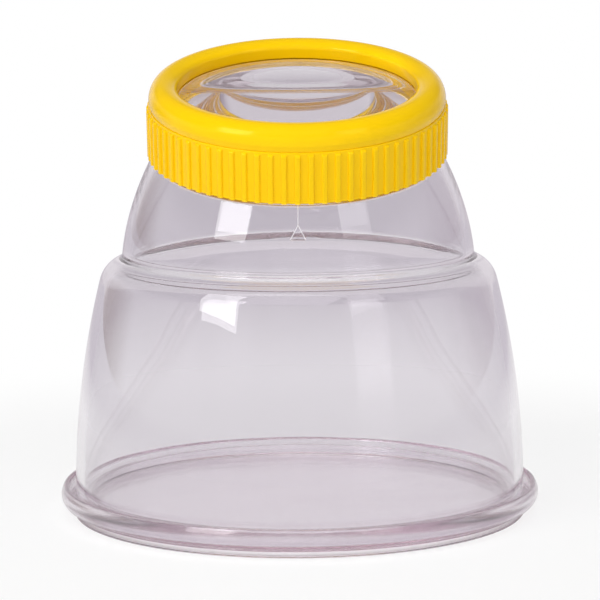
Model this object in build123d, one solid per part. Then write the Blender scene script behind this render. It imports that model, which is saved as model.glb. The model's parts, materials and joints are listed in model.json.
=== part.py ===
from build123d import *
import math
import os

# Bug catcher jar: a clear stepped dome that stands in a clear tray, with a screwed magnifier
# cap on a neck that leans towards the viewer. Millimetres and degrees. Z is up, the front is -Y
# and the origin is the middle of the foot, on the table.

# Magnifier lens, a double convex disc with a flat rim
lens_radius = 28.85
lens_rim_width = 2.05
lens_rim_thickness = 2.4
lens_sag = 3.6
lens_side_play = 0.3
lens_end_play = 0.1

# Screw ring, from the ledge of the dome up to the bezel
ring_height = 11.5
ring_wall = 1.8
ring_lift = 0.35
seat_thickness = 1.6
seat_play = 0.3
thread_room = 0.9
ring_edge_chamfer = 0.3
rib_count = 72
rib_width = 1.3
rib_relief = 0.55
rib_corner = 0.35
rib_top_margin = 0.45
rib_top_slope = 0.5

# Lens bezel, a round-topped ring that plugs into the screw ring
spigot_wall = 1.75
spigot_play = 0.15
spigot_end_gap = 0.2
bezel_foot_inset = 0.25
bezel_side_height = 1.2
bezel_crest_inset = 3.4
bezel_inner_wall = 2.1
bezel_crest_rise = 1.8

# Neck of the dome
neck_margin = 1.7
neck_wall = 1.9
neck_length = 9.3
neck_chamfer = 0.4
ledge_width = 1.7
ledge_round = 1.2

# Upper tier of the dome, which bends forward along an arc and slides forward as it rises
upper_length = 24.35
neck_tilt = 15.6
upper_slide = 3.0
upper_taper = 8.05
upper_bow = 1.45
upper_steps = 6

# Lower tier of the dome and its rolled shoulder
wall = 2.0
shoulder_width = 5.1
shoulder_rise = 5.0
shoulder_fillet = 1.0
lower_flare = 6.3
lower_height = 50.8
lower_bow = 1.65

# Index arrow raised on the front of the upper tier
arrow_width = 3.6
arrow_height = 3.3
arrow_start = 7.7
arrow_relief = 0.35

# Base tray
channel_gap = 1.6
lip_thickness = 1.7
lip_rise = 3.6
lip_round = 0.5
rim_roll = 0.8
rim_drop = 0.6
foot_inset = 3.1
foot_width = 2.5
foot_height = 1.6
floor_underside = 1.4
floor_thickness = 1.8
guide_height = 2.6
guide_wall = 1.5
guide_play = 0.3
guide_chamfer = 0.5

# Radii that follow from the lens outwards
face_radius = lens_radius - lens_rim_width
pocket_radius = lens_radius + lens_side_play
spigot_radius = pocket_radius + spigot_wall
recess_radius = spigot_radius + spigot_play
neck_radius = lens_radius + neck_margin
neck_bore = neck_radius - neck_wall
ring_bore = neck_radius + thread_room
ring_radius = ring_bore + ring_wall
collar_radius = neck_radius + ledge_width
shoulder_top_radius = collar_radius + upper_taper
shoulder_radius = shoulder_top_radius + shoulder_width
dome_foot_radius = shoulder_radius + lower_flare
lip_inner_radius = dome_foot_radius + channel_gap
rim_radius = lip_inner_radius + lip_thickness
foot_radius = rim_radius - foot_inset
guide_radius = dome_foot_radius - wall - guide_play

# Heights above the table, up to the shoulder
floor_top = floor_underside + floor_thickness
shoulder_start = floor_top + lower_height
shoulder_height = shoulder_start + shoulder_rise
lip_top = floor_top + lip_rise

# Heights above the ledge, along the leaning axis of the neck
seat_height = neck_length + seat_thickness
ring_top = ring_lift + ring_height
lens_top = seat_height + lens_rim_thickness
bezel_lip = lens_top + lens_end_play
bezel_edge = bezel_lip + bezel_inner_wall

bend_radius = upper_length / math.radians(neck_tilt)


def turned(outline):
    """Solid turned about Z from a closed outline drawn as (radius, height)."""
    return revolve(Plane.XZ * make_face(outline), Axis.Z)


def bent_plane(length):
    """Section plane of the upper tier, at a length along its bend from the shoulder."""
    angle = length / bend_radius
    forward = bend_radius * (1 - math.cos(angle)) + upper_slide * length / upper_length
    rise = bend_radius * math.sin(angle)
    return Plane(
        origin=(0, -forward, shoulder_height + rise),
        x_dir=(1, 0, 0),
        z_dir=(0, -math.sin(angle), math.cos(angle)),
    )


def upper_radius(share):
    """Outer radius of the upper tier at a share of its length."""
    straight = shoulder_top_radius - upper_taper * share
    return straight + upper_bow * 4 * share * (1 - share)


def upper_loft(inset, top):
    """Solid upper tier, drawn in by the inset, up to a length along its axis."""
    sections = []
    for step in range(upper_steps + 1):
        length = top * step / upper_steps
        radius = upper_radius(length / upper_length) - inset
        sections.append(bent_plane(length) * Circle(radius))
    return loft(sections)


def lower_bell(inset):
    """Solid lower tier with its rolled shoulder, drawn in by the inset."""
    foot = (dome_foot_radius - inset, floor_top)
    roll = (shoulder_radius - inset, shoulder_start - inset / 2)
    top = (shoulder_top_radius - inset, shoulder_height - inset)
    middle = (
        (foot[0] + roll[0]) / 2 + lower_bow,
        (foot[1] + roll[1]) / 2,
    )
    side = ThreePointArc(foot, middle, roll)
    shoulder = TangentArc(roll, top, tangent=side % 1)
    rest = Polyline(top, (0, top[1]), (0, floor_top), foot)
    return turned([side, shoulder, rest])


def top_edges(part, axis):
    """Edges round the highest face of a part along an axis."""
    return part.faces().sort_by(axis)[-1].edges()


def make_arrow():
    """Raised triangle that follows the front wall of the upper tier, point upwards."""
    base = shoulder_height + arrow_start
    outline = Plane.XZ * make_face(
        Polyline(
            (-arrow_width / 2, base),
            (arrow_width / 2, base),
            (0, base + arrow_height),
            close=True,
        )
    )
    front = extrude(outline, shoulder_radius)
    return front & (upper_loft(-arrow_relief, upper_length) - upper_loft(wall / 2, upper_length))


def make_dome():
    """Clear shell: flared lower tier, shoulder, bent upper tier, ledge and plain neck."""
    ledge = bent_plane(upper_length)
    neck_axis = Axis(ledge.origin, ledge.z_dir)
    shell = lower_bell(0) + upper_loft(0, upper_length)
    shell = fillet(top_edges(shell, neck_axis), ledge_round)
    junction = shell.edges().filter_by_position(Axis.Z, shoulder_height, shoulder_height)
    shell = fillet(junction, shoulder_fillet)
    shell += extrude(ledge * Circle(neck_radius), neck_length)
    shell = chamfer(top_edges(shell, neck_axis), neck_chamfer)
    throat = extrude(Plane.XY.offset(shoulder_height - wall) * Circle(shoulder_top_radius - wall), wall)
    hollow = lower_bell(wall) + throat + upper_loft(wall, upper_length - wall)
    bore = extrude(ledge.offset(-2 * wall) * Circle(neck_bore), neck_length + 3 * wall)
    return shell + make_arrow() - hollow - bore


def make_base_tray():
    """Clear dish: ring foot, rolled rim with a lip, floor and a ring that guides the dome."""
    rim_foot = (rim_radius - rim_roll, floor_top - rim_drop)
    lip_outside = (rim_radius - lip_round, lip_top - lip_round)
    lip_inside = (lip_inner_radius, lip_top - lip_round)
    lip_middle = ((lip_outside[0] + lip_inside[0]) / 2, lip_top)
    guide_top = floor_top + guide_height
    guide_inside = guide_radius - guide_wall
    rim = ThreePointArc(rim_foot, (rim_radius, (rim_foot[1] + lip_outside[1]) / 2), lip_outside)
    lip = ThreePointArc(lip_outside, lip_middle, lip_inside)
    inside = Polyline(
        lip_inside,
        (lip_inner_radius, floor_top),
        (guide_radius, floor_top),
        (guide_radius, guide_top - guide_chamfer),
        (guide_radius - guide_chamfer, guide_top),
        (guide_inside, guide_top),
        (guide_inside, floor_top),
        (0, floor_top),
        (0, floor_underside),
    )
    underside = Polyline(
        (0, floor_underside),
        (foot_radius - foot_width, floor_underside),
        (foot_radius - foot_width, 0),
        (foot_radius, 0),
        (foot_radius, foot_height),
        rim_foot,
    )
    return turned([rim, lip, inside, underside])


def make_screw_ring():
    """Ribbed ring of the cap, with the seat for the lens, upright on the ledge plane."""
    body = turned(
        Polyline(
            (ring_bore, ring_lift),
            (ring_radius, ring_lift),
            (ring_radius, ring_top - ring_edge_chamfer),
            (ring_radius - ring_edge_chamfer, ring_top),
            (recess_radius, ring_top),
            (recess_radius, seat_height),
            (face_radius + seat_play, seat_height),
            (face_radius + seat_play, neck_length),
            (ring_bore, neck_length),
            close=True,
        )
    )
    rib_root = ring_radius - ring_wall / 2
    rib_crest = ring_radius + rib_relief
    rib_top = ring_top - rib_top_margin
    profile = Polyline(
        (rib_root, ring_lift),
        (rib_crest, ring_lift),
        (rib_crest, rib_top - rib_top_slope),
        (rib_crest - rib_top_slope, rib_top),
        (rib_root, rib_top),
        close=True,
    )
    bar = extrude(Plane.XZ * make_face(profile), rib_width / 2, both=True)
    bar = fillet(bar.edges().filter_by(Axis.Z).group_by(Axis.X)[-1], rib_corner)
    ribs = [Rot(0, 0, 360 * turn / rib_count) * bar for turn in range(rib_count)]
    return body + ribs


def make_lens_bezel():
    """Round-topped ring that traps the lens, upright on the ledge plane."""
    foot_edge = ring_radius - bezel_foot_inset
    side_height = ring_top + bezel_side_height
    crest_radius = ring_radius - bezel_crest_inset
    crest_height = bezel_edge + bezel_crest_rise
    outer = EllipticalCenterArc(
        (crest_radius, side_height),
        bezel_crest_inset,
        crest_height - side_height,
        start_angle=0,
        arc_size=90,
    )
    inner = EllipticalCenterArc(
        (crest_radius, bezel_edge),
        crest_radius - face_radius,
        bezel_crest_rise,
        start_angle=90,
        arc_size=90,
    )
    inside = Polyline(
        (face_radius, bezel_edge),
        (face_radius, bezel_lip),
        (pocket_radius, bezel_lip),
        (pocket_radius, seat_height + spigot_end_gap),
        (spigot_radius, seat_height + spigot_end_gap),
        (spigot_radius, ring_top),
        (foot_edge, ring_top),
        (ring_radius, side_height),
    )
    return turned([outer, inner, inside])


def make_lens():
    """Double convex lens with a flat rim, upright on the ledge plane."""
    bulge = (face_radius**2 + lens_sag**2) / (2 * lens_sag)
    upper = RadiusArc((face_radius, lens_top), (0, lens_top + lens_sag), -bulge)
    lower = RadiusArc((0, seat_height - lens_sag), (face_radius, seat_height), -bulge)
    rim = Polyline(
        (face_radius, seat_height),
        (lens_radius, seat_height),
        (lens_radius, lens_top),
        (face_radius, lens_top),
    )
    axis = Line((0, lens_top + lens_sag), (0, seat_height - lens_sag))
    return turned([lower, rim, upper, axis])


neck = bent_plane(upper_length).location
pieces = {
    "base_tray": make_base_tray(),
    "dome": make_dome(),
    "screw_ring": neck * make_screw_ring(),
    "lens_bezel": neck * make_lens_bezel(),
    "lens": neck * make_lens(),
}

os.makedirs("parts", exist_ok=True)
for name, piece in pieces.items():
    export_step(piece, f"parts/{name}.step")
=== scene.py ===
import cmath
import json
import math

import bmesh
import bpy
from mathutils import Matrix, Vector


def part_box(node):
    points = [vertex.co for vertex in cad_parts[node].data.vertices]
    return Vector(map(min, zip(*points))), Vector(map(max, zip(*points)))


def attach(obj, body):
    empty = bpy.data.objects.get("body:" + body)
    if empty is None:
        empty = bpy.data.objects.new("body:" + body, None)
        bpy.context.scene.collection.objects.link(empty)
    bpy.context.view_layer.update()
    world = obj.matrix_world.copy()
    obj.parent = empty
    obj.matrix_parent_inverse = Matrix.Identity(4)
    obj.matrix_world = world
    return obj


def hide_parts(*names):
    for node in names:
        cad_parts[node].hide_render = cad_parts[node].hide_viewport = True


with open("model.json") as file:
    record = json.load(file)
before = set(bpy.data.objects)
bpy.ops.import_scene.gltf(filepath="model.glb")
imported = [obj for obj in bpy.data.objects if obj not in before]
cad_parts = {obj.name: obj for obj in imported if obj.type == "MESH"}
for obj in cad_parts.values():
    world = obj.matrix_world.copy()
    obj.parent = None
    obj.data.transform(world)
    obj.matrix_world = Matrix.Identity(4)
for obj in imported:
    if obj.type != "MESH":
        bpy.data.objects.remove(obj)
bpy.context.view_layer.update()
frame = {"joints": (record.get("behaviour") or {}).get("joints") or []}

scene = bpy.context.scene
scene.view_settings.view_transform = "Standard"
toMetres = 0.001  # outlines below are in millimetres, finished meshes in metres


# The cap's hinge gives the foot and the lean of the neck
capTurn = next(joint for joint in frame["joints"] if joint["name"] == "cap_turn")
capRise = next(joint for joint in frame["joints"] if joint["name"] == "cap_rise")
neckFoot = Vector(capTurn["pos_m"]) / toMetres
neckLean = math.atan2(-capTurn["axis"][1], capTurn["axis"][2])
neckPlace = Matrix.Translation(neckFoot) @ Matrix.Rotation(neckLean, 4, "X")


def boxSize(node):
    low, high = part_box(node)
    return (high - low) / toMetres


def boxTop(node):
    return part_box(node)[1].z / toMetres


# Sizes that several pieces share
fit = {
    "threadLead": capRise["range_m"][1] / toMetres,  # one turn lifts the cap this far
    "threadStarts": 3,
    "threadRoom": 0.9,
    "lensRadius": boxSize("lens").x / 2,
    "lensRim": 2.4,
    "lensRimWidth": 2.05,
    "ringRadius": boxSize("lens_bezel").x / 2,
    "ringTop": 11.85,
    "seatHeight": 10.9,
    "neckLength": 9.3,
    "neckMargin": 1.7,
    "domeFoot": boxSize("dome").x / 2,
    "floorTop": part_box("dome")[0].z / toMetres,
    "airGap": 0.03,  # a hair of air under the foot, the dome and the lens, where light leaves the clear walls
}
fit["faceRadius"] = fit["lensRadius"] - fit["lensRimWidth"]  # clear view inside the lens's flat rim
fit["neckRadius"] = fit["lensRadius"] + fit["neckMargin"]
fit["ringBore"] = fit["neckRadius"] + fit["threadRoom"]

# How the meshes are made
meshing = {
    "same": 0.001,  # millimetres, points closer than this are one
    "cut": 1e-5,
    "sectors": 16,  # a round piece is spun as this many alike parts
    "stepsPerMillimetre": 6,  # along a rounded corner
    "fewestSteps": 3,
    "sharpAngle": 50.0,  # degrees, an edge that turns by more stays sharp
}


# Points along round stretches of an outline, as (radius, height)
def roundAbout(centre, start, end, count):
    sweep = cmath.phase((end - centre) / (start - centre))
    places = [centre + (start - centre) * cmath.exp(1j * sweep * step / count) for step in range(count + 1)]
    return [(place.real, place.imag) for place in places]


def arcThrough(start, middle, end, count):
    a, b, c = complex(*start), complex(*middle), complex(*end)
    turn = (c - a) / (b - a)
    centre = a + (b - a) * (turn - abs(turn) ** 2) / (2j * turn.imag)
    return roundAbout(centre, a, c, count)


def arcOnwards(before, start, end, count):
    # leaves start in line with the last two points of the stretch before it
    a, c = complex(*start), complex(*end)
    heading = a - complex(*before)
    side = 1j * heading / abs(heading)
    chord = c - a
    centre = a + side * abs(chord) ** 2 / (2 * (chord * side.conjugate()).real)
    return roundAbout(centre, a, c, count)


def quarterRound(centre, across, up, start, count):
    angles = [start + math.pi / 2 * step / count for step in range(count + 1)]
    return [(centre[0] + across * math.cos(angle), centre[1] + up * math.sin(angle)) for angle in angles]


def straight(start, end, count):
    return [(start[0] + (end[0] - start[0]) * step / count, start[1] + (end[1] - start[1]) * step / count)
            for step in range(count + 1)]


# Turn an outline about Z: a point is (radius, height), with a third value where its corner is rounded
def spinOutline(outline, columns, sectors):
    bm = bmesh.new()
    verts = [bm.verts.new((point[0], 0, point[1])) for point in outline]
    for one, other in zip(verts, verts[1:] + verts[:1]):
        if max(one.co.x, other.co.x) > meshing["same"]:  # no edge along the axis
            bm.edges.new((one, other))
    for vert, point in zip(verts, outline):
        if len(point) > 2:
            steps = max(meshing["fewestSteps"], round(meshing["stepsPerMillimetre"] * point[2]))
            bmesh.ops.bevel(bm, geom=[vert], offset=point[2], offset_type="OFFSET", segments=steps,
                            profile=0.5, affect="VERTICES", material=-1)
    sector = 2 * math.pi / sectors
    about = {"axis": (0, 0, 1), "cent": (0, 0, 0)}
    bmesh.ops.spin(bm, geom=bm.verts[:] + bm.edges[:], angle=sector, steps=columns // sectors, **about)
    bmesh.ops.spin(bm, geom=bm.verts[:] + bm.edges[:] + bm.faces[:], angle=2 * math.pi - sector,
                   steps=sectors - 1, use_duplicate=True, **about)
    bmesh.ops.remove_doubles(bm, verts=bm.verts, dist=meshing["same"])
    bmesh.ops.recalc_face_normals(bm, faces=bm.faces)
    return bm


def radiusOf(vert):
    return math.hypot(vert.co.x, vert.co.y)


def setRadius(vert, radius):
    share = radius / radiusOf(vert)
    vert.co.x *= share
    vert.co.y *= share


# Height of the screw thread's bead at one place of a wall
def beadHeight(vert, bead, phase):
    pitch = fit["threadLead"] / fit["threadStarts"]
    turn = math.atan2(vert.co.y, vert.co.x) / (2 * math.pi)
    along = vert.co.z / pitch - turn * fit["threadStarts"] + phase
    away = abs(along - round(along)) * pitch
    side = min(1, max(0, (bead["width"] / 2 - away) / bead["flank"]))
    fromEnd = min(vert.co.z - bead["low"], bead["high"] - vert.co.z)
    fade = min(1, max(0, fromEnd / bead["fade"]))
    return bead["height"] * side * side * (3 - 2 * side) * fade * fade * (3 - 2 * fade)


def finishPiece(name, bm, materials, body, node):
    bmesh.ops.scale(bm, vec=(toMetres,) * 3, verts=bm.verts)
    mesh = bpy.data.meshes.new(name)
    bm.to_mesh(mesh)
    bm.free()
    for material in materials:
        mesh.materials.append(material)
    mesh.shade_smooth()
    mesh.set_sharp_from_angle(angle=math.radians(meshing["sharpAngle"]))
    piece = bpy.data.objects.new(name, mesh)
    scene.collection.objects.link(piece)
    weights = piece.modifiers.new("flatsStayFlat", "WEIGHTED_NORMAL")  # also beside small rounds
    weights.keep_sharp = True
    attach(piece, body)
    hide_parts(node)
    print(name, "done,", len(mesh.polygons), "faces")
    return piece


# Materials
def fromHex(code):
    parts = [int(code[place:place + 2], 16) / 255 for place in (1, 3, 5)]
    return (*(part / 12.92 if part <= 0.04045 else ((part + 0.055) / 1.055) ** 2.4 for part in parts), 1)


def addNode(tree, kind, settings=(), links=()):
    node = tree.nodes.new(kind)
    for name, value in dict(settings).items():
        if isinstance(name, int) or name in node.inputs:
            node.inputs[name].default_value = value
        else:
            setattr(node, name, value)
    for name, source in dict(links).items():
        tree.links.new(source, node.inputs[name])
    return node


def newMaterial(name):
    material = bpy.data.materials.new(name)
    material.use_nodes = True
    material.node_tree.nodes.clear()
    return material, material.node_tree


def perMetre(millimetres):
    return 1 / (millimetres * toMetres)


# ABS, injection moulded in a polished tool: warm opaque yellow, soft highlights, a hardly seen orange peel
def mouldedAbs():
    material, tree = newMaterial("yellow_abs_moulded")
    place = addNode(tree, "ShaderNodeTexCoord")
    mottle = addNode(tree, "ShaderNodeTexNoise", {"Scale": perMetre(6), "Detail": 3.0},
                     {"Vector": place.outputs["Object"]})
    colour = addNode(tree, "ShaderNodeMix",
                     {"data_type": "RGBA", 6: fromHex("#ffce08"), 7: fromHex("#ffd20a")},
                     {0: mottle.outputs["Fac"]})
    gloss = addNode(tree, "ShaderNodeMapRange", {"To Min": 0.12, "To Max": 0.18},
                    {"Value": mottle.outputs["Fac"]})
    peel = addNode(tree, "ShaderNodeTexNoise", {"Scale": perMetre(0.9), "Detail": 1.0},
                   {"Vector": place.outputs["Object"]})
    bump = addNode(tree, "ShaderNodeBump", {"Strength": 0.02, "Distance": 0.0001},
                   {"Height": peel.outputs["Fac"]})
    shader = addNode(tree, "ShaderNodeBsdfPrincipled",
                     {"IOR": 1.53, "Specular Tint": fromHex("#ffe680")},
                     {"Base Color": colour.outputs[2], "Roughness": gloss.outputs["Result"],
                      "Normal": bump.outputs["Normal"]})
    addNode(tree, "ShaderNodeOutputMaterial", {}, {"Surface": shader.outputs["BSDF"]})
    return material


# Clear plastics, moulded: see-through with sharp reflections, faint flow waves, a cast along thick edges
def clearPlastic(name, tint, ior, haze, depthTint, depth):
    material, tree = newMaterial(name)
    place = addNode(tree, "ShaderNodeTexCoord")
    flow = addNode(tree, "ShaderNodeTexNoise", {"Scale": perMetre(22), "Detail": 1.0},
                   {"Vector": place.outputs["Object"]})
    bump = addNode(tree, "ShaderNodeBump", {"Strength": 0.1, "Distance": 0.0005},
                   {"Height": flow.outputs["Fac"]})
    shader = addNode(tree, "ShaderNodeBsdfPrincipled",
                     {"Base Color": fromHex(tint), "IOR": ior, "Roughness": haze, "Transmission Weight": 1.0},
                     {"Normal": bump.outputs["Normal"]})
    absorb = addNode(tree, "ShaderNodeVolumeAbsorption",
                     {"Color": fromHex(depthTint), "Density": perMetre(depth)})
    addNode(tree, "ShaderNodeOutputMaterial", {},
            {"Surface": shader.outputs["BSDF"], "Volume": absorb.outputs["Volume"]})
    return material


# Painted highlight: a rough, partly diffuse white polystyrene on the arrow's outline and the parting ridge,
# so that these edges show as fine white lines
def paintedHighlightEdge():
    material, tree = newMaterial("polystyrene_edge_painted_highlight")
    place = addNode(tree, "ShaderNodeTexCoord")
    grain = addNode(tree, "ShaderNodeTexNoise", {"Scale": perMetre(0.5), "Detail": 2.0},
                    {"Vector": place.outputs["Object"]})
    rough = addNode(tree, "ShaderNodeMapRange", {"To Min": 0.35, "To Max": 0.6},
                    {"Value": grain.outputs["Fac"]})
    shader = addNode(tree, "ShaderNodeBsdfPrincipled",
                     {"Base Color": fromHex("#f8f6fa"), "IOR": 1.59, "Transmission Weight": 0.4},
                     {"Roughness": rough.outputs["Result"]})
    addNode(tree, "ShaderNodeOutputMaterial", {}, {"Surface": shader.outputs["BSDF"]})
    return material


yellowAbs = mouldedAbs()
paintedHighlightPolystyrene = paintedHighlightEdge()
# Polystyrene from a polished mould: bright and clear, hardly tinted
clearPolystyrene = clearPlastic("clear_polystyrene_moulded", "#f5f4f6", 1.59, 0.0, "#c08494", 260)
# Polystyrene from a plainer mould: a slight haze, and mauve where it is thick
mauvePolystyrene = clearPlastic("clear_polystyrene_mauve", "#fbf9fb", 1.59, 0.13, "#bf7fa0", 100)
# Acrylic, polished as a lens: the clearest of the three
clearAcrylic = clearPlastic("clear_acrylic_polished", "#faf9fa", 1.49, 0.0, "#d8d0d8", 120)
print("materials done")


# Base tray
tray = {
    "columns": 256,
    "rimRadius": boxSize("base_tray").x / 2,
    "lipTop": boxTop("base_tray"),
    "lipThickness": 1.7,
    "lipRound": 0.5,
    "rimRoll": 0.8,
    "rimDrop": 0.6,
    "footRadius": 51.9,
    "footWidth": 2.5,
    "footHeight": 1.6,
    "floorUnderside": 1.4,
    "guideRadius": 49.4,
    "guideWall": 1.5,
    "guideHeight": 2.6,
    "guideChamfer": 0.5,
    "edge": 0.25,
    "rimSteps": 12,
    "lipSteps": 10,
}


def makeBaseTray():
    floorTop = fit["floorTop"]
    rimFoot = (tray["rimRadius"] - tray["rimRoll"], floorTop - tray["rimDrop"])
    lipOutside = (tray["rimRadius"] - tray["lipRound"], tray["lipTop"] - tray["lipRound"])
    lipInside = (tray["rimRadius"] - tray["lipThickness"], lipOutside[1])
    lipMiddle = ((lipOutside[0] + lipInside[0]) / 2, tray["lipTop"])
    rimMiddle = (tray["rimRadius"], (rimFoot[1] + lipOutside[1]) / 2)
    guideTop = floorTop + tray["guideHeight"]
    guideInside = tray["guideRadius"] - tray["guideWall"]
    footInside = tray["footRadius"] - tray["footWidth"]
    edge = tray["edge"]
    outline = (
        [(*rimFoot, edge)]
        + arcThrough(rimFoot, rimMiddle, lipOutside, tray["rimSteps"])[1:]
        + arcThrough(lipOutside, lipMiddle, lipInside, tray["lipSteps"])[1:]
        + [(lipInside[0], floorTop, edge),
           (tray["guideRadius"], floorTop, edge),
           (tray["guideRadius"], guideTop - tray["guideChamfer"]),
           (tray["guideRadius"] - tray["guideChamfer"], guideTop),
           (guideInside, guideTop, edge),
           (guideInside, floorTop, edge),
           (0, floorTop),
           (0, tray["floorUnderside"]),
           (footInside, tray["floorUnderside"], edge),
           (footInside, 0, edge),
           (tray["footRadius"], 0, edge),
           (tray["footRadius"], tray["footHeight"], edge)]
    )
    bm = spinOutline(outline, tray["columns"], meshing["sectors"])
    return finishPiece("base_tray_clear", bm, [mauvePolystyrene], "base", "base_tray")


# Dome
dome = {
    "columns": 256,
    "wall": 2.0,
    "shoulderRadius": 45.4,
    "shoulderStart": 54.0,
    "shoulderTop": 40.3,
    "shoulderFillet": 1.0,
    "shoulderInside": 2.4,
    "shoulderEase": 3.0,  # inside, the wall climbs slantwise to the upper tier over this width
    "easeSlope": 35.0,
    "lowerBow": 1.65,
    "upperLength": 24.35,
    "upperSlide": 3.0,
    "upperBow": 1.45,
    "collar": 32.25,
    "ledgeRound": 1.2,
    "neckWall": 1.9,
    "neckEdge": 0.4,
    "edge": 0.25,
    "bead": {"height": 0.6, "width": 1.7, "flank": 0.55, "low": 0.8, "high": 8.3, "fade": 0.9},
    "partingWidth": 0.16,
    "partingRise": 0.035,
    "arrowWidth": 3.6,
    "arrowHeight": 3.3,
    "arrowStart": 7.7,
    "arrowRelief": 0.35,
    "arrowLine": 0.18,
    "arrowReach": 2.5,  # faces this far round the arrow are cut with it
    "arrowSpare": 0.5,
    "lowerSteps": 120,  # fine, so that the shoulder leaves the side smoothly
    "lowerKept": 4,  # and every fourth one is kept
    "shoulderSteps": 14,
    "upperSteps": 14,
    "upperInsideSteps": 12,
    "neckSteps": 44,
}
bendRadius = dome["upperLength"] / neckLean
shoulderHeight = neckFoot.z - bendRadius * math.sin(neckLean)


# Upper tier bends forward along an arc and slides forward, the neck above it leans straight
def bendForward(point):
    rise = point.z - shoulderHeight
    if rise <= 0:
        return point
    bent = min(rise, dome["upperLength"])
    pivot = Vector((0, -bendRadius, shoulderHeight))
    flat = Vector((point.x, point.y, shoulderHeight + rise - bent))
    slide = Vector((0, -dome["upperSlide"] * bent / dome["upperLength"], 0))
    return pivot + Matrix.Rotation(bent / bendRadius, 3, "X") @ (flat - pivot) + slide


def upperSide(inset, start, end, count):
    side = []
    for step in range(count + 1):
        share = start + (end - start) * step / count
        taper = dome["shoulderTop"] - (dome["shoulderTop"] - dome["collar"]) * share
        side.append((taper + dome["upperBow"] * 4 * share * (1 - share) - inset,
                     shoulderHeight + dome["upperLength"] * share))
    return side


def lowerSide(inset):
    foot = (fit["domeFoot"] - inset, fit["floorTop"] + fit["airGap"])
    roll = (dome["shoulderRadius"] - inset, dome["shoulderStart"] - inset / 2)
    top = (dome["shoulderTop"] - inset, shoulderHeight - inset)
    middle = ((foot[0] + roll[0]) / 2 + dome["lowerBow"], (foot[1] + roll[1]) / 2)
    side = arcThrough(foot, middle, roll, dome["lowerSteps"])
    shoulder = arcOnwards(side[-2], roll, top, dome["shoulderSteps"])
    return side[::dome["lowerKept"]] + shoulder[1:]


# Raise the ridge that the mould leaves at the front and the back
def addPartingLine(bm):
    column = 2 * math.pi / dome["columns"]
    for vert in bm.verts:
        radius = radiusOf(vert)
        angle = math.atan2(vert.co.y, vert.co.x)
        fromFront = angle - math.copysign(math.pi / 2, vert.co.y)
        steps = round(fromFront / column)
        if vert.normal.dot(Vector((vert.co.x, vert.co.y, 0))) <= 0 or abs(steps) > 1:
            continue
        if steps == 0:
            setRadius(vert, radius + dome["partingRise"])
        else:
            closer = steps * dome["partingWidth"] / 2 / radius - fromFront
            vert.co = Matrix.Rotation(closer, 3, "Z") @ vert.co


# Cut the index arrow into the front wall and raise it
def addArrow(bm):
    base = shoulderHeight + dome["arrowStart"]
    half, tip = dome["arrowWidth"] / 2, base + dome["arrowHeight"]
    slant = Vector((dome["arrowHeight"], 0, half)).normalized()
    cuts = [(Vector((0, 0, base)), Vector((0, 0, -1))),
            (Vector((0, 0, tip)), slant),
            (Vector((0, 0, tip)), Vector((-slant.x, 0, slant.z)))]

    def frontFaces(margin):
        found = []
        for face in bm.faces:
            centre = face.calc_center_median()
            if centre.y > 0 or face.normal.y > 0 or abs(centre.x) > half + margin:
                continue
            if base - margin < centre.z < tip + margin:
                found.append(face)
        return found

    for place, normal in cuts:
        faces = frontFaces(dome["arrowReach"])
        parts = set(faces)
        for face in faces:
            parts.update(face.verts)
            parts.update(face.edges)
        bmesh.ops.bisect_plane(bm, geom=list(parts), plane_co=place, plane_no=normal, dist=meshing["cut"])
    bm.normal_update()
    inside = [face for face in frontFaces(dome["arrowSpare"])
              if all((face.calc_center_median() - place).dot(normal) < 0 for place, normal in cuts)]
    outwards = sum((face.normal for face in inside), Vector()).normalized()
    raised = bmesh.ops.extrude_face_region(bm, geom=inside)["geom"]
    lifted = [part for part in raised if isinstance(part, bmesh.types.BMVert)]
    bmesh.ops.translate(bm, vec=outwards * dome["arrowRelief"], verts=lifted)
    bmesh.ops.delete(bm, geom=[face for face in inside if face.is_valid], context="FACES")
    top = [part for part in raised if isinstance(part, bmesh.types.BMFace)]
    line = bmesh.ops.inset_region(bm, faces=top, thickness=dome["arrowLine"], use_even_offset=True)["faces"]
    bm.normal_update()
    # The slanted sides of the arrow's outline band take material 1, the white painted highlight, and its
    # bottom side stays clear
    for face in line:
        face.material_index = 1 if face.calc_center_median().z > base + dome["arrowLine"] else 0
    for face in bm.faces:  # the parting ridge from the arrow up to the ledge, painted white as a highlight line
        centre = face.calc_center_median()
        if abs(centre.x) < dome["partingWidth"] / 2 and face.normal.y < -0.5 and centre.y < 0:
            if tip < centre.z < neckFoot.z - fit["neckRadius"] * math.sin(neckLean):
                face.material_index = 1


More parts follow.
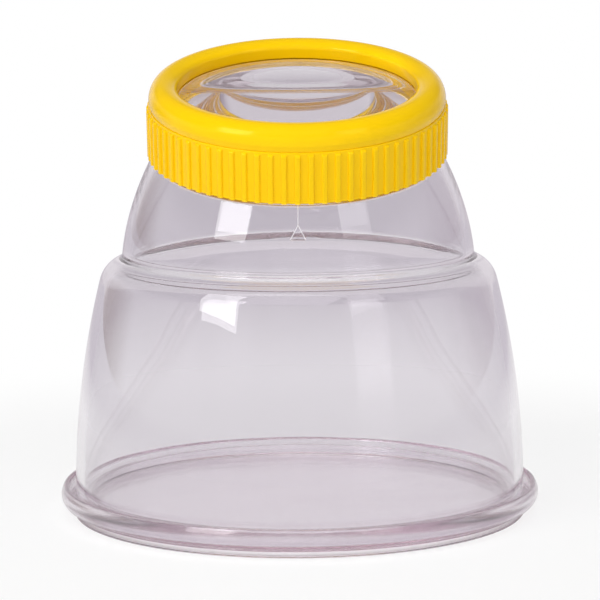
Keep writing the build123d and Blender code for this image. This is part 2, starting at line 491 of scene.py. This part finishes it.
def makeDome():
    neckTop = shoulderHeight + dome["upperLength"] + fit["neckLength"] - fit["airGap"]
    ledge = shoulderHeight + dome["upperLength"]
    neckBore = fit["neckRadius"] - dome["neckWall"]
    underLedge = 1 - dome["wall"] / dome["upperLength"]
    outside, inside = lowerSide(0), lowerSide(dome["wall"])
    bore = inside[-1][0]
    inside = [point for point in inside if point[0] > bore + dome["shoulderEase"]]
    climb = (inside[-1][0] - bore) * math.tan(math.radians(dome["easeSlope"]))
    turn = (bore, inside[-1][1] + climb)
    overShoulder = dome["shoulderInside"] / dome["upperLength"]
    upperInside = upperSide(dome["wall"], overShoulder, underLedge, dome["upperInsideSteps"])
    edge = dome["edge"]
    neckSide = straight((fit["neckRadius"], ledge), (fit["neckRadius"], neckTop), dome["neckSteps"])
    outline = (
        [(*outside[0], edge)] + outside[1:-1] + [(*outside[-1], dome["shoulderFillet"])]
        + upperSide(0, 0, 1, dome["upperSteps"])[1:-1] + [(dome["collar"], ledge, dome["ledgeRound"])]
        + [(*neckSide[0], edge)] + neckSide[1:-1] + [(*neckSide[-1], dome["neckEdge"])]
        + [(neckBore, neckTop, dome["neckEdge"]), (neckBore, upperInside[-1][1], edge)]
        + [(*upperInside[-1], edge)]
        + upperInside[-2::-1] + [(*turn, dome["shoulderInside"])] + inside[-1:0:-1] + [(*inside[0], edge)]
    )
    bm = spinOutline(outline, dome["columns"], meshing["sectors"])
    bm.normal_update()
    for vert in bm.verts:
        if abs(radiusOf(vert) - fit["neckRadius"]) < meshing["same"] and ledge < vert.co.z < neckTop:
            vert.co.z -= ledge
            setRadius(vert, fit["neckRadius"] + beadHeight(vert, dome["bead"], 0))
            vert.co.z += ledge
    addPartingLine(bm)
    for vert in bm.verts:
        vert.co = bendForward(vert.co)
    bm.normal_update()
    addArrow(bm)
    finishes = [clearPolystyrene, paintedHighlightPolystyrene]
    return finishPiece("dome_clear", bm, finishes, "jar", "dome")


# Screw ring of the cap
ring = {
    "lift": 0.35,
    "recess": 31.05,
    "seatBore": 27.1,
    "ribs": 72,
    "ribColumns": 12,
    "columnStops": (0.45, 0.7, 0.86, 0.97),  # places of the columns in half a rib
    "ribFoot": 0.02,
    "ribWidth": 1.3,
    "ribRelief": 0.55,
    "ribCorner": 0.3,
    "ribTopMargin": 0.45,
    "ribTopSlope": 0.6,
    "edge": 0.2,
    "footStep": 0.05,
    "footSteps": 2,
    "sideSteps": 6,
    "boreSteps": 36,
    "bead": {"height": 0.6, "width": 1.7, "flank": 0.55, "low": 0.7, "high": 8.7, "fade": 0.9},
}


# Height of a rib at one place of the ring's side
def ribHeight(vert):
    pitch = 2 * math.pi / ring["ribs"]
    angle = math.atan2(vert.co.y, vert.co.x)
    across = abs(angle - round(angle / pitch) * pitch) * fit["ringRadius"]
    corner = ring["ribCorner"]
    inwards = min(corner, max(0, ring["ribWidth"] / 2 - across)) / corner
    top = fit["ringTop"] - ring["ribTopMargin"] - vert.co.z
    upwards = min(1, max(0, top / ring["ribTopSlope"]))
    return ring["ribRelief"] * math.sqrt(1 - (1 - inwards) ** 2) * math.sqrt(1 - (1 - upwards) ** 2)


# Crowd the columns of each rib towards its two sides, where it turns
def crowdColumn(vert):
    pitch = 2 * math.pi / ring["ribs"]
    angle = math.atan2(vert.co.y, vert.co.x)
    rib = round(angle / pitch)
    share = (angle - rib * pitch) / (pitch / 2)
    side = ring["ribWidth"] / fit["ringRadius"] / pitch
    stops = [0] + [stop * side for stop in ring["columnStops"]] + [side + ring["ribFoot"], 1]
    place = stops[min(len(stops) - 1, round(abs(share) * ring["ribColumns"] / 2))]
    vert.co = Matrix.Rotation(math.copysign(place, share) * pitch / 2 - share * pitch / 2, 3, "Z") @ vert.co


def makeScrewRing():
    foot, top = ring["lift"], fit["ringTop"]
    sideTop = top - ring["ribTopMargin"]
    seat = fit["seatHeight"] - fit["airGap"]
    slopeFoot = sideTop - ring["ribTopSlope"]
    side, bore, edge = fit["ringRadius"], fit["ringBore"], ring["edge"]
    outline = (
        straight((bore, foot), (side, foot), ring["footSteps"])[1:]
        + straight((side, foot + ring["footStep"]), (side, slopeFoot), ring["sideSteps"])
        + straight((side, slopeFoot), (side, sideTop), ring["sideSteps"])[1:]
        + [(side, top, edge), (ring["recess"], top, edge), (ring["recess"], seat),
           (ring["seatBore"], seat), (ring["seatBore"], fit["neckLength"], edge)]
        + straight((bore, fit["neckLength"]), (bore, foot), ring["boreSteps"])
    )
    bm = spinOutline(outline, ring["ribs"] * ring["ribColumns"], ring["ribs"])
    for vert in bm.verts:
        crowdColumn(vert)
        radius = radiusOf(vert)
        if abs(radius - side) < meshing["same"] and vert.co.z < sideTop:
            setRadius(vert, radius + ribHeight(vert))
        elif abs(radius - bore) < meshing["same"] and vert.co.z < fit["neckLength"]:
            setRadius(vert, radius - beadHeight(vert, ring["bead"], 0.5))
    bmesh.ops.transform(bm, matrix=neckPlace, verts=bm.verts)
    return finishPiece("screw_ring_yellow", bm, [yellowAbs], "cap", "screw_ring")


# Lens bezel of the cap
bezel = {
    "columns": 256,
    "footInset": 0.25,
    "sideHeight": 1.2,
    "crestInset": 3.4,
    "crestRise": 1.8,
    "innerWall": 2.1,
    "lensPlay": 0.1,
    "pocket": 29.15,
    "spigot": 30.9,
    "spigotGap": 0.2,
    "edge": 0.15,
    "crestSteps": 20,
}


def makeLensBezel():
    top = fit["ringTop"]
    lip = fit["seatHeight"] + fit["lensRim"] + bezel["lensPlay"]
    innerEdge = lip + bezel["innerWall"]
    sideTop = top + bezel["sideHeight"]
    crest = fit["ringRadius"] - bezel["crestInset"]
    rise = bezel["crestRise"]
    crestHeight = innerEdge + rise
    spigotFoot = fit["seatHeight"] + bezel["spigotGap"]
    edge, steps = bezel["edge"], bezel["crestSteps"]
    outline = (
        quarterRound((crest, sideTop), bezel["crestInset"], crestHeight - sideTop, 0, steps)
        + quarterRound((crest, innerEdge), crest - fit["faceRadius"], rise, math.pi / 2, steps)[1:]
        + [(fit["faceRadius"], lip, edge), (bezel["pocket"], lip, edge), (bezel["pocket"], spigotFoot, edge),
           (bezel["spigot"], spigotFoot, edge), (bezel["spigot"], top, edge),
           (fit["ringRadius"] - bezel["footInset"], top, edge)]
    )
    bm = spinOutline(outline, bezel["columns"], meshing["sectors"])
    bmesh.ops.transform(bm, matrix=neckPlace, verts=bm.verts)
    return finishPiece("lens_bezel_yellow", bm, [yellowAbs], "cap", "lens_bezel")


# Magnifier lens
lens = {
    "columns": 192,
    "sag": 3.6,
    "edge": 0.15,
    "faceSteps": 40,
}


def makeLens():
    seat = fit["seatHeight"]
    top = seat + fit["lensRim"]
    face, rim = fit["faceRadius"], fit["lensRadius"]
    bulge = (face ** 2 + lens["sag"] ** 2) / (2 * lens["sag"])
    peak, pit = top + lens["sag"], seat - lens["sag"]
    upper = roundAbout(complex(0, peak - bulge), complex(face, top), complex(0, peak), lens["faceSteps"])
    lower = roundAbout(complex(0, pit + bulge), complex(0, pit), complex(face, seat), lens["faceSteps"])
    edge = lens["edge"]
    outline = upper + lower + [(rim, seat, edge), (rim, top, edge)]
    bm = spinOutline(outline, lens["columns"], meshing["sectors"])
    bmesh.ops.transform(bm, matrix=neckPlace, verts=bm.verts)
    return finishPiece("lens_clear", bm, [clearAcrylic], "lens", "lens")


makeBaseTray()
makeDome()
makeScrewRing()
makeLensBezel()
makeLens()


# Stage: a floor that is white to the camera and a pale table to the clear walls, with the shadow on it
stageSet = {
    "floorSize": 30.0,
    "matt": "#f4f4f4",
    "shadowRadius": 0.10,
    "shadowFade": 0.12,
    "shadowHold": 0.25,  # how much of the shaded floor is left to see at the foot
    "table": "#f1eff1",
    "tableFar": "#cfc9d1",
    "contactShadow": "#4e2e30",  # painted contact shadow: a dark ring on the floor where the foot stands
    "contactWidth": 0.010,
    "tableReach": 0.20,
    "tableFade": 0.30,
    "backdrop": "#e3dee3",
}


def floorPaint():
    material, tree = newMaterial("floor_white")
    place = addNode(tree, "ShaderNodeTexCoord")
    path = addNode(tree, "ShaderNodeLightPath")
    distance = addNode(tree, "ShaderNodeVectorMath", {"operation": "LENGTH"}, {0: place.outputs["Object"]})
    beyond = addNode(tree, "ShaderNodeMapRange",
                     {"From Min": stageSet["tableReach"],
                      "From Max": stageSet["tableReach"] + stageSet["tableFade"]},
                     {"Value": distance.outputs["Value"]})
    tone = addNode(tree, "ShaderNodeMix",
                   {"data_type": "RGBA", 6: fromHex(stageSet["table"]), 7: fromHex(stageSet["tableFar"])},
                   {0: beyond.outputs["Result"]})
    # Painted contact shadow: a dark ring on the floor under the tray's foot, seen only in reflections and
    # through the clear walls
    fromFoot = addNode(tree, "ShaderNodeMath",
                       {"operation": "SUBTRACT", 1: (tray["footRadius"] - tray["footWidth"] / 2) * toMetres},
                       {0: distance.outputs["Value"]})
    fromFoot = addNode(tree, "ShaderNodeMath", {"operation": "ABSOLUTE"}, {0: fromFoot.outputs[0]})
    contactShadow = addNode(tree, "ShaderNodeMapRange",
                      {"From Min": stageSet["contactWidth"] / 2, "From Max": 0.0},
                      {"Value": fromFoot.outputs[0]})
    tone = addNode(tree, "ShaderNodeMix", {"data_type": "RGBA", 7: fromHex(stageSet["contactShadow"])},
                   {0: contactShadow.outputs["Result"], 6: tone.outputs[2]})
    tone = addNode(tree, "ShaderNodeMix", {"data_type": "RGBA", 7: (1, 1, 1, 1)},
                   {0: path.outputs["Is Camera Ray"], 6: tone.outputs[2]})
    away = addNode(tree, "ShaderNodeMapRange",
                   {"From Min": stageSet["shadowRadius"],
                    "From Max": stageSet["shadowRadius"] + stageSet["shadowFade"],
                    "To Min": 1 - stageSet["shadowHold"], "To Max": 1.0, "interpolation_type": "SMOOTHSTEP"},
                   {"Value": distance.outputs["Value"]})
    seen = addNode(tree, "ShaderNodeMath", {"operation": "MAXIMUM"},
                   {0: path.outputs["Is Camera Ray"], 1: path.outputs["Is Glossy Ray"]})
    seen = addNode(tree, "ShaderNodeMath", {"operation": "MAXIMUM"},
                   {0: seen.outputs[0], 1: path.outputs["Is Transmission Ray"]})
    share = addNode(tree, "ShaderNodeMath", {"operation": "MULTIPLY"},
                    {0: away.outputs["Result"], 1: seen.outputs[0]})
    matt = addNode(tree, "ShaderNodeBsdfDiffuse", {"Color": fromHex(stageSet["matt"])})
    white = addNode(tree, "ShaderNodeEmission", {"Strength": 1.0}, {"Color": tone.outputs[2]})
    mix = addNode(tree, "ShaderNodeMixShader", {},
                  {0: share.outputs[0], 1: matt.outputs["BSDF"], 2: white.outputs["Emission"]})
    addNode(tree, "ShaderNodeOutputMaterial", {}, {"Surface": mix.outputs["Shader"]})
    return material


def makeFloor():
    bm = bmesh.new()
    bmesh.ops.create_grid(bm, x_segments=1, y_segments=1, size=stageSet["floorSize"] / 2)
    bmesh.ops.translate(bm, vec=(0, 0, -fit["airGap"] * toMetres), verts=bm.verts)
    mesh = bpy.data.meshes.new("floor")
    bm.to_mesh(mesh)
    bm.free()
    mesh.materials.append(floorPaint())
    floor = bpy.data.objects.new("floor", mesh)
    scene.collection.objects.link(floor)


makeFloor()


# Light: a pale room, white to the camera, with soft boxes front left and right and a fill above them
studio = {
    "roomLight": 0.42,
    "roomDark": "#5e525b",  # what the walls mirror from above the table, but for the pale backdrop behind
    "darkFrom": 14.0,  # degrees above the table
    "darkTo": 22.0,
    "behindAll": 0.97,  # how far to the back a heading points, where the backdrop is whole
    "behindNone": 0.80,
    "sides": {  # degrees from the camera's direction, left is negative
        "warmWall": {"turn": -128.0, "spread": 22.0, "tone": "#6b4a35"},
        "greyWall": {"turn": 118.0, "spread": 32.0, "tone": "#a08f9b"},
    },
    "bounces": 48,  # light runs far along clear walls before it leaves them
    "aim": (0, 0, 0.06),
    "reach": 1.0,
    "softBoxes": {
        "left": {"turn": -46.0, "rise": 27.0, "size": (0.38, 0.42), "glow": 4.6, "mirrored": True},
        "right": {"turn": 40.0, "rise": 29.0, "size": (0.34, 0.38), "glow": 1.4, "mirrored": True},
        "fill": {"turn": -12.0, "rise": 50.0, "size": (1.0, 0.8), "glow": 2.1, "mirrored": False},
    },
}


def fromTurn(turn, rise):
    flat = math.cos(math.radians(rise))
    return Vector((math.sin(math.radians(turn)) * flat, -math.cos(math.radians(turn)) * flat,
                   math.sin(math.radians(rise))))


def makeRoom():
    world = bpy.data.worlds.new("pale_room")
    scene.world = world
    world.use_nodes = True
    tree = world.node_tree
    tree.nodes.clear()
    path = addNode(tree, "ShaderNodeLightPath")
    heading = addNode(tree, "ShaderNodeTexCoord")
    parts = addNode(tree, "ShaderNodeSeparateXYZ", {}, {0: heading.outputs["Generated"]})
    above = addNode(tree, "ShaderNodeMapRange",
                    {"From Min": math.sin(math.radians(studio["darkFrom"])),
                     "From Max": math.sin(math.radians(studio["darkTo"]))},
                    {"Value": parts.outputs["Z"]})
    notBehind = addNode(tree, "ShaderNodeMapRange",
                        {"From Min": studio["behindAll"], "From Max": studio["behindNone"]},
                        {"Value": parts.outputs["Y"]})
    dark = addNode(tree, "ShaderNodeMath", {"operation": "MULTIPLY"},
                   {0: above.outputs["Result"], 1: notBehind.outputs["Result"]})
    mirrored = addNode(tree, "ShaderNodeMath", {"operation": "GREATER_THAN"},
                       {0: path.outputs["Is Glossy Ray"], 1: path.outputs["Is Transmission Ray"]})
    dark = addNode(tree, "ShaderNodeMath", {"operation": "MULTIPLY"},
                   {0: dark.outputs[0], 1: mirrored.outputs[0]})
    tone = addNode(tree, "ShaderNodeMix",
                   {"data_type": "RGBA", 6: fromHex(stageSet["backdrop"]), 7: fromHex(studio["roomDark"])},
                   {0: dark.outputs[0]})
    for side in studio["sides"].values():
        towards = addNode(tree, "ShaderNodeVectorMath",
                          {"operation": "DOT_PRODUCT", 1: fromTurn(side["turn"], 0)},
                          {0: heading.outputs["Generated"]})
        near = addNode(tree, "ShaderNodeMapRange",
                       {"From Min": math.cos(math.radians(side["spread"])), "From Max": 1.0},
                       {"Value": towards.outputs["Value"]})
        tone = addNode(tree, "ShaderNodeMix", {"data_type": "RGBA", 7: fromHex(side["tone"])},
                       {0: near.outputs["Result"], 6: tone.outputs[2]})
    tone = addNode(tree, "ShaderNodeMix", {"data_type": "RGBA", 7: (1, 1, 1, 1)},
                   {0: path.outputs["Is Camera Ray"], 6: tone.outputs[2]})
    seen = addNode(tree, "ShaderNodeMath", {"operation": "MAXIMUM"},
                   {0: path.outputs["Is Camera Ray"], 1: path.outputs["Is Glossy Ray"]})
    seen = addNode(tree, "ShaderNodeMath", {"operation": "MAXIMUM"},
                   {0: seen.outputs[0], 1: path.outputs["Is Transmission Ray"]})
    light = (studio["roomLight"],) * 3 + (1,)
    glow = addNode(tree, "ShaderNodeMix", {"data_type": "RGBA", 6: light},
                   {0: seen.outputs[0], 7: tone.outputs[2]})
    room = addNode(tree, "ShaderNodeBackground", {"Strength": 1.0}, {"Color": glow.outputs[2]})
    addNode(tree, "ShaderNodeOutputWorld", {}, {"Surface": room.outputs["Background"]})


def makeSoftBoxes():
    for side, box in studio["softBoxes"].items():
        lamp = bpy.data.lights.new("soft_box_" + side, "AREA")
        lamp.shape = "RECTANGLE"
        lamp.size, lamp.size_y = box["size"]
        lamp.energy = box["glow"] * math.pi * lamp.size * lamp.size_y
        holder = bpy.data.objects.new("soft_box_" + side, lamp)
        scene.collection.objects.link(holder)
        away = fromTurn(box["turn"], box["rise"])
        holder.location = Vector(studio["aim"]) + away * studio["reach"]
        holder.rotation_euler = (-away).to_track_quat("-Z", "Y").to_euler()
        holder.visible_glossy = box["mirrored"]


makeRoom()
makeSoftBoxes()


# Camera at the photograph's place, for an image of 600 by 600 pixels
shot = {
    "frame": 600,
    "place": (0, -0.600, 0.12963),
    "pitch": 7.70,
    "roll": -0.40,
    "focalPixels": 2636.4,
    "centreColumn": 298.5,
    "sensor": 36.0,
}


def makeCamera():
    camera = bpy.data.cameras.new("camera")
    camera.sensor_width = shot["sensor"]
    camera.lens = shot["focalPixels"] / shot["frame"] * shot["sensor"]
    camera.shift_x = (shot["frame"] / 2 - shot["centreColumn"]) / shot["frame"]
    holder = bpy.data.objects.new("camera", camera)
    scene.collection.objects.link(holder)
    holder.matrix_world = (
        Matrix.Translation(shot["place"])
        @ Matrix.Rotation(math.radians(90 - shot["pitch"]), 4, "X")
        @ Matrix.Rotation(math.radians(shot["roll"]), 4, "Z")
    )
    scene.camera = holder


makeCamera()
for limit in ("max_bounces", "transmission_bounces", "glossy_bounces"):
    setattr(scene.cycles, limit, studio["bounces"])
scene.cycles.blur_glossy = 0  # light reaches the inside of the cap through the neck unblurred
print("stage, light and camera done")
